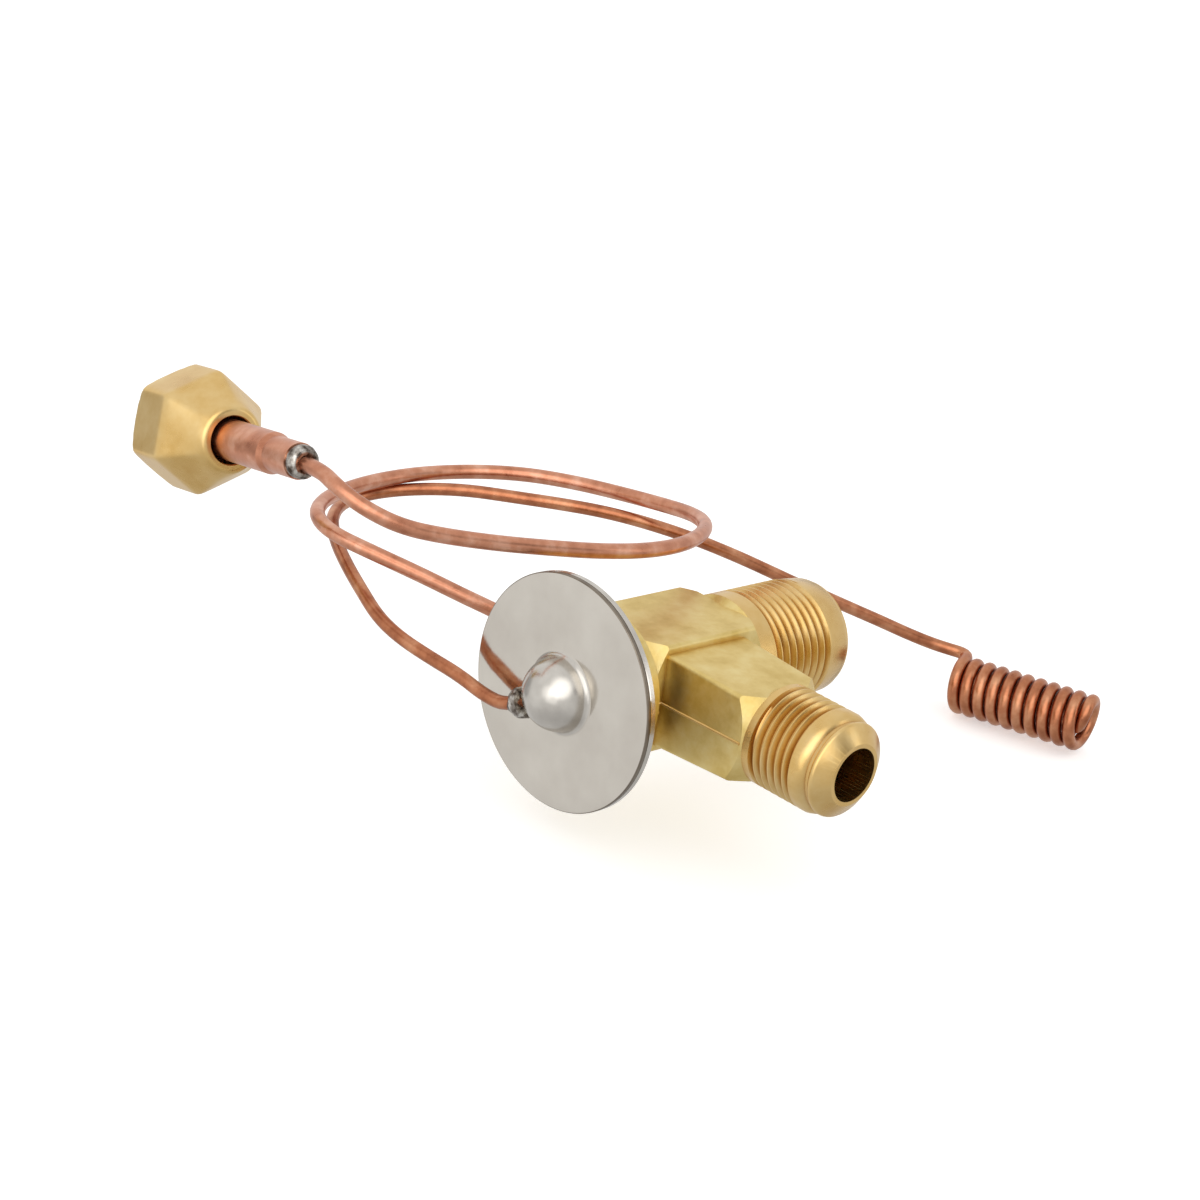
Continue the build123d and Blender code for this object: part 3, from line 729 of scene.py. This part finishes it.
def bead(name, start, skin, end, tube, place, steps):
    hole = tube["diameter"] / 2 - solder["intoTube"]
    outline = [(start + along, radius) for along, radius in skin]
    return turnedPiece(name, [(outline[0][0], hole), *outline, (start + end, hole)], place, steps)


def meltEdges(piece, depth):
    # solder froze in lumps: the skin is pushed in and out by a slow noise
    lumps = bpy.data.textures.new("solderLumps", "CLOUDS")
    lumps.noise_scale = solder["lumpMm"] * mm
    useModifier(
        piece, "DISPLACE", texture=lumps, texture_coords="LOCAL", strength=depth * mm, mid_level=0.5)
    smoothShade(piece, angle=60)


domeBead = bead(
    "domeSolder", 0, solder["domeSkin"], solder["domeEnd"], capillary,
    axisFrame(domeMiddle, intoDome, (1, 0, 0)), 48)
meltEdges(domeBead, solder["domeLump"])
finishPiece(domeBead, silverSolder, "solder", "valve", "capillary_solder")
stubBead = bead(
    "stubSolder", stub["length"], solder["stubSkin"], solder["stubEnd"], equalizerLine, nutPlace, 64)
meltEdges(stubBead, solder["stubLump"])
finishPiece(stubBead, silverSolder, "solder", "valve", "stub_solder")
print("joints soldered")


# the solids that stay as they are
keptFinishes = {
    "head_dish": drawnSteel, "diaphragm": pressedSteel, "diaphragm_plate": turnedBrass,
    "push_rods": brightSteel, "push_rod_seals": nitrile, "valve_seat": turnedBrass,
    "valve_ball": brightSteel, "ball_carrier": turnedBrass, "superheat_spring": brightSteel,
    "adjusting_nut": turnedBrass, "inlet_strainer": turnedBrass, "strainer_ring": turnedBrass,
    "equalizer_solder": silverSolder, "stub_tube": drawnCopper,
}
for name, material in keptFinishes.items():
    nodes[name].data.materials.clear()
    nodes[name].data.materials.append(material)
print("kept solids finished")


studio = {
    "floorZ": -21.9, "floorSize": 3000, "floorColour": "#F4F4F2", "floorRoughness": 0.9,
    "lift": 0.48, "ambient": 0.8,
    # the white room in the metal: darkest away from its bright side, full from roomFull on
    "brightSide": (-0.33, 0.88, 0.34), "darkest": 0.72, "brightest": 0.92, "roomFull": 0.6,
    # added to the room or taken from it: bright behind and above the viewer, dim below, bright
    # behind on the left, dark far left, dark behind on the right
    "panels": [
        {"toward": (-0.557, -0.557, 0.616), "edge": 0.78, "full": 0.94, "amount": 1.1},
        {"toward": (0.0, 0.0, -1.0), "edge": 0.2, "full": 0.9, "amount": -0.2},
        {"toward": (-0.959, -0.067, 0.276), "edge": 0.93, "full": 0.98, "amount": 0.5},
        {"toward": (-0.256, 0.956, -0.139), "edge": 0.93, "full": 0.975, "amount": -0.42},
        {"toward": (0.226, -0.845, 0.485), "edge": 0.96, "full": 0.985, "amount": -0.5},
    ],
    "cameraAt": (-344.8, -276.3, 173.3), "cameraLens": 90, "sensorWidth": 36,
    "cameraRight": (0.7157, -0.6819, 0.1506), "cameraUp": (0.1539, 0.3644, 0.9184),
    "lampsAim": (-30, 10, 0),
    "softboxes": [
        {"name": "leftSoftbox", "at": (-460, -170, 60), "wide": 260, "tall": 300, "power": 0.12},
        {"name": "rightStrip", "at": (275, -350, 165), "wide": 60, "tall": 300, "power": 0.08},
    ],
}


def makeFloor():
    bpy.ops.mesh.primitive_plane_add(
        size=studio["floorSize"] * mm, location=(0, 0, studio["floorZ"] * mm))
    floor = nameAfter("studioFloor")
    floor.visible_glossy = False  # polished metal shows the white room instead, with no horizon
    # white paper, lifted to full white where it is seen, so only the part's shadow shows
    paper, tree, shader = newMaterial("paperSweep")
    shader.inputs["Base Color"].default_value = linear(studio["floorColour"])
    shader.inputs["Roughness"].default_value = studio["floorRoughness"]
    shader.inputs["Emission Color"].default_value = linear("#FFFFFF")
    path = addNode(tree, "ShaderNodeLightPath")
    lift = addNode(
        tree, "ShaderNodeMath", {"operation": "MULTIPLY", 1: studio["lift"]},
        i0=path.outputs["Is Camera Ray"])
    tree.links.new(lift.outputs["Value"], shader.inputs["Emission Strength"])
    floor.data.materials.append(paper)


def makeWorld():
    # white to the camera; in metal a pale room, brightest on one side, with its panels added; to
    # matt surfaces plain light
    world = bpy.data.worlds.new("studioWorld")
    world.use_nodes = True
    bpy.context.scene.world = world
    tree = world.node_tree
    backdrop = tree.nodes["Background"]
    backdrop.inputs["Color"].default_value = linear("#FFFFFF")
    path = addNode(tree, "ShaderNodeLightPath")
    way = addNode(tree, "ShaderNodeTexCoord").outputs["Generated"]
    side = addNode(
        tree, "ShaderNodeVectorMath", {"operation": "DOT_PRODUCT", 1: studio["brightSide"]}, i0=way)
    room = addNode(tree, "ShaderNodeMapRange", {
        "From Min": -1.0, "From Max": studio["roomFull"],
        "To Min": studio["darkest"], "To Max": studio["brightest"],
    }, Value=side.outputs["Value"]).outputs["Result"]
    for panel in studio["panels"]:
        facing = addNode(
            tree, "ShaderNodeVectorMath", {"operation": "DOT_PRODUCT", 1: panel["toward"]}, i0=way)
        seen = addNode(tree, "ShaderNodeMapRange", {
            "interpolation_type": "SMOOTHSTEP", "From Min": panel["edge"], "From Max": panel["full"],
            "To Min": 0.0, "To Max": panel["amount"],
        }, Value=facing.outputs["Value"]).outputs["Result"]
        room = addNode(tree, "ShaderNodeMath", {"operation": "ADD"}, i0=room, i1=seen).outputs["Value"]
    mirrored = addNode(
        tree, "ShaderNodeMath", {"operation": "MAXIMUM"},
        i0=path.outputs["Is Glossy Ray"], i1=path.outputs["Is Transmission Ray"]).outputs["Value"]
    lit = addNode(
        tree, "ShaderNodeMapRange", {"To Min": studio["ambient"]}, Value=mirrored, To_Max=room,
    ).outputs["Result"]
    strength = addNode(
        tree, "ShaderNodeMapRange", {"To Max": 1.0}, Value=path.outputs["Is Camera Ray"], To_Min=lit)
    tree.links.new(strength.outputs["Result"], backdrop.inputs["Strength"])


def makeSoftbox(box):
    aim = Vector(studio["lampsAim"])
    bpy.ops.object.light_add(type="AREA", location=Vector(box["at"]) * mm)
    lamp = bpy.context.object
    lamp.name = box["name"]
    lamp.visible_camera = False
    lamp.data.shape = "RECTANGLE"
    lamp.data.size = box["wide"] * mm
    lamp.data.size_y = box["tall"] * mm
    lamp.data.energy = box["power"]
    lamp.rotation_euler = (aim - Vector(box["at"])).to_track_quat("-Z", "Y").to_euler()


def makeCamera():
    bpy.ops.object.camera_add()
    camera = bpy.context.object
    right = Vector(studio["cameraRight"]).normalized()
    back = right.cross(Vector(studio["cameraUp"])).normalized()
    up = back.cross(right)
    turn = Matrix((right, up, back)).transposed().to_4x4()
    camera.matrix_world = Matrix.Translation(Vector(studio["cameraAt"]) * mm) @ turn
    camera.data.lens = studio["cameraLens"]
    camera.data.sensor_width = studio["sensorWidth"]
    camera.data.clip_start = 0.01
    camera.data.clip_end = 20
    bpy.context.scene.camera = camera


makeFloor()
makeWorld()
for box in studio["softboxes"]:
    makeSoftbox(box)
makeCamera()
bpy.context.scene.view_settings.view_transform = "Standard"

print("scene ready")
